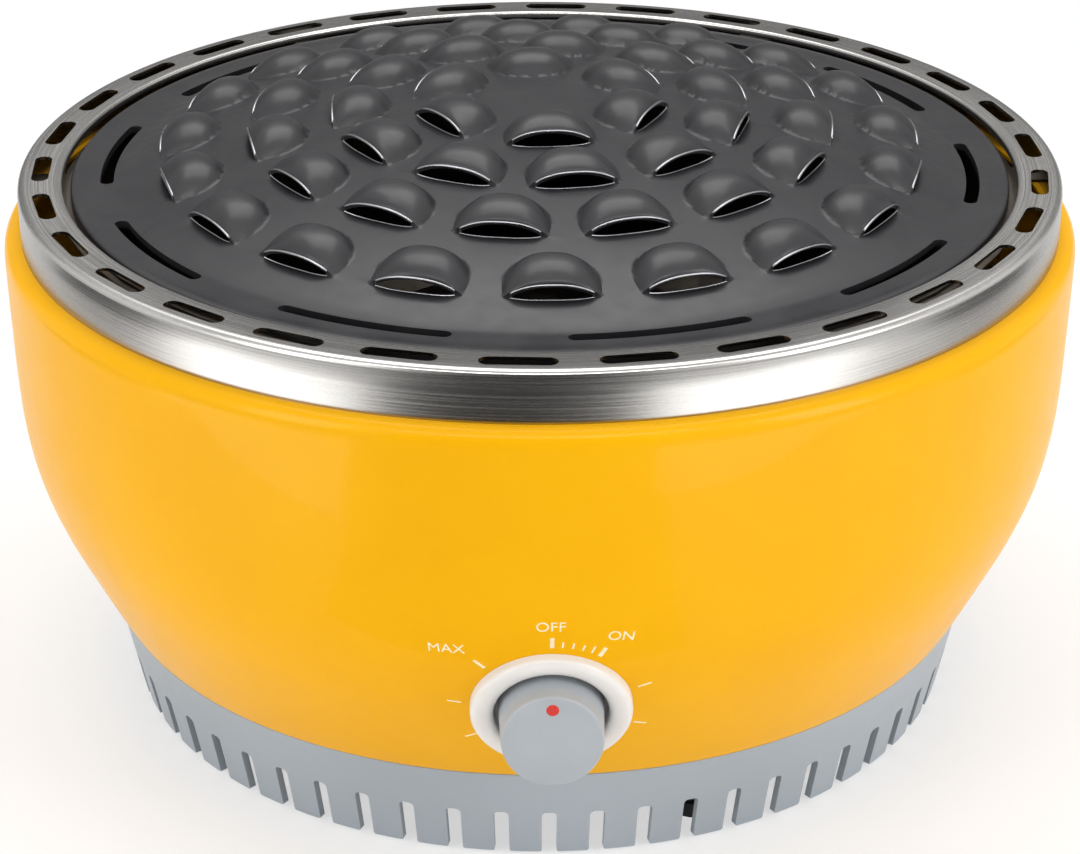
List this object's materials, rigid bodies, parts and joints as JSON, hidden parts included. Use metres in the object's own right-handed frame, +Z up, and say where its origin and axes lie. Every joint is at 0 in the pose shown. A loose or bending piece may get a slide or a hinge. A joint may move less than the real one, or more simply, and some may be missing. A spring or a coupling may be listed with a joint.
{
  "type": "table grill",
  "caption": "Round fan-assisted charcoal table grill: painted bowl on a slotted base, steel rim, domed plate with louvred bubbles, and a rotary fan control.",
  "frame": {"origin": "on the table, under the bowl's axis, which is the centre of the footprint", "axes": "+Z up along the bowl's axis; the knob is at the front, towards -Y; +X to the right seen from the front"},
  "size_m": [0.3532, 0.3584, 0.2074],
  "materials": {
    "yellow_paint": "gloss",
    "base_plastic": "satin",
    "rubber": "matte",
    "zinc_steel": "satin",
    "brushed_stainless": "brushed",
    "bright_stainless": "satin",
    "nonstick_coating": "satin",
    "black_plastic": "matte",
    "cell_jacket": "satin",
    "white_plastic": "satin",
    "knob_plastic": "satin",
    "marker_red": "satin"
  },
  "bodies": {
    "root": {"base_ring": "base_plastic", "base_floor": "base_plastic", "rubber_feet": "rubber", "base_screws": "zinc_steel", "outer_bowl": "yellow_paint", "bowl_screws": "zinc_steel", "heat_shield": "zinc_steel", "shield_screws": "zinc_steel", "fan_motor": "zinc_steel", "fan_housing": "black_plastic", "fan_screws": "zinc_steel", "battery_box": "black_plastic", "battery_cells": "cell_jacket", "battery_contacts": "zinc_steel", "control_bracket": "zinc_steel", "bracket_screws": "zinc_steel", "potentiometer": "zinc_steel", "potentiometer_nut": "zinc_steel", "knob_bezel": "white_plastic"},
    "inner_bowl": {"steel_collar": "brushed_stainless", "collar_band": "brushed_stainless", "collar_shelf": "brushed_stainless", "inner_bowl": "bright_stainless", "air_nozzle": "bright_stainless"},
    "ignition_tray": {"ignition_tray": "bright_stainless"},
    "charcoal_basket": {"charcoal_basket": "bright_stainless", "basket_floor": "bright_stainless", "basket_legs": "bright_stainless"},
    "basket_lid": {"basket_lid": "bright_stainless", "lid_knob": "bright_stainless"},
    "grill_plate": {"grill_plate": "nonstick_coating"},
    "fan_rotor": {"fan_impeller": "black_plastic", "motor_shaft": "zinc_steel"},
    "battery_cover": {"battery_cover": "base_plastic"},
    "knob": {"knob": "knob_plastic", "knob_marker": "marker_red", "potentiometer_spindle": "zinc_steel"}
  },
  "joints": [
    {"name": "bowl_lift", "type": "slide", "parent": "root", "child": "inner_bowl", "axis": [0, 0, 1], "range_m": [0, 0.135]},
    {"name": "plate_lift", "type": "slide", "parent": "inner_bowl", "child": "grill_plate", "axis": [0, 0, 1], "range_m": [0, 0.25]},
    {"name": "tray_lift", "type": "slide", "parent": "inner_bowl", "child": "ignition_tray", "axis": [0, 0, 1], "range_m": [0, 0.065]},
    {"name": "basket_lift", "type": "slide", "parent": "ignition_tray", "child": "charcoal_basket", "axis": [0, 0, 1], "range_m": [0, 0.065]},
    {"name": "lid_lift", "type": "slide", "parent": "charcoal_basket", "child": "basket_lid", "axis": [0, 0, 1], "range_m": [0, 0.06]},
    {"name": "fan_spin", "type": "hinge", "parent": "root", "child": "fan_rotor", "pos_m": [0, 0, 0.03], "axis": [0, 0, 1], "continuous": true},
    {"name": "knob_turn", "type": "hinge", "parent": "root", "child": "knob", "pos_m": [0, -0.1818, 0.066], "axis": [0, 1, 0], "range_deg": [0, 312]},
    {"name": "cover_slide", "type": "slide", "parent": "root", "child": "battery_cover", "axis": [1, 0, 0], "range_m": [0, 0.045]}
  ]
}
